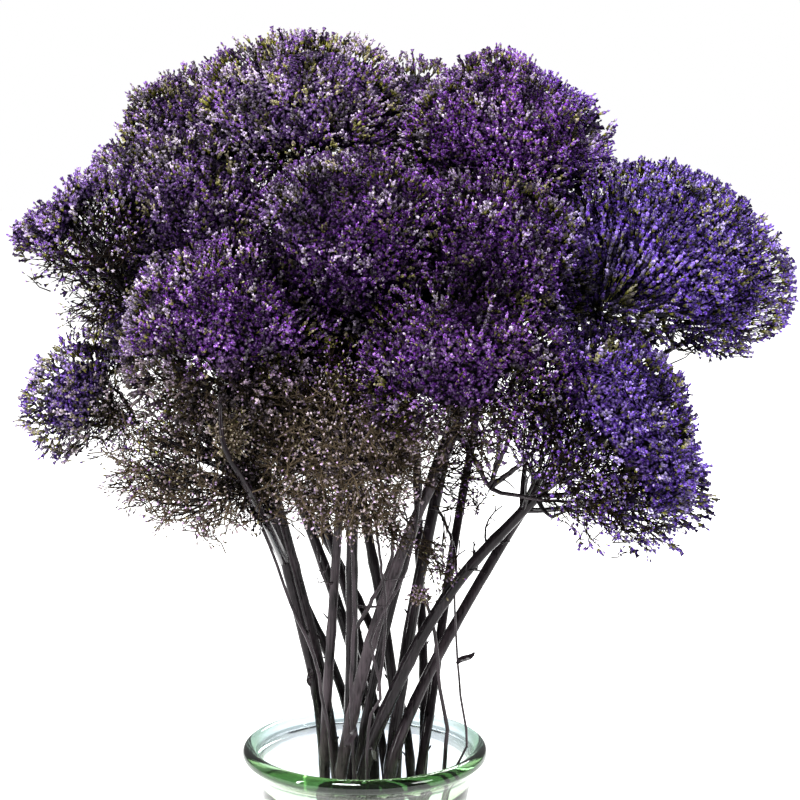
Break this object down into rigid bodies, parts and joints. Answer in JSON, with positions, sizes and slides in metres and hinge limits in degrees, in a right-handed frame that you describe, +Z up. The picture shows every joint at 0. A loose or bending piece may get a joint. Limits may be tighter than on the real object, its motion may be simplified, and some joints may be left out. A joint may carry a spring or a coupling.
{
  "type": "dried trachelium bunch in a glass vase",
  "caption": "Bunch of dried trachelium: woody forked stems with dense domed heads of tiny violet florets, standing in a thick-rimmed pale green glass vase.",
  "frame": {"origin": "centre of the vase's flat underside", "axes": "+Z up along the vase's axis, -Y to the front of the bunch, +X to the right in the picture"},
  "size_m": [0.3673, 0.2744, 0.5074],
  "materials": {
    "vase_glass": "clear pale green glass with a deeper green rolled rim",
    "dark_stem": "dry charcoal plum bark with a grey mauve highlight",
    "violet_florets": "matt dried violet florets",
    "lilac_florets": "matt dried grey lilac florets with olive buds",
    "olive_florets": "matt dried brown olive seed heads with a few violet florets"
  },
  "bodies": {
    "root": {"vase": "vase_glass", "stem_crown": "dark_stem", "stem_upper_left": "dark_stem", "stem_back_top": "dark_stem", "stem_top_right": "dark_stem", "stem_shoulder": "dark_stem", "stem_centre_top": "dark_stem", "stem_centre_right": "dark_stem", "stem_back_right": "dark_stem", "stem_back_left": "dark_stem", "stem_far_left": "dark_stem", "stem_lower_left": "dark_stem", "stem_left_centre": "dark_stem", "stem_lower_centre": "dark_stem", "stem_centre_front": "dark_stem", "stem_right": "dark_stem", "stem_right_lower": "dark_stem", "head_crown": "lilac_florets", "head_upper_left": "lilac_florets", "head_back_top": "violet_florets", "head_top_right": "violet_florets", "head_shoulder": "violet_florets", "head_centre_top": "violet_florets", "head_centre_right": "violet_florets", "head_back_right": "violet_florets", "head_back_left": "violet_florets", "head_far_left": "violet_florets", "head_lower_left": "olive_florets", "head_left_centre": "violet_florets", "head_lower_centre": "olive_florets", "head_centre_front": "violet_florets", "head_right": "violet_florets", "head_right_lower": "violet_florets", "head_left_tip": "olive_florets"}
  },
  "joints": []
}
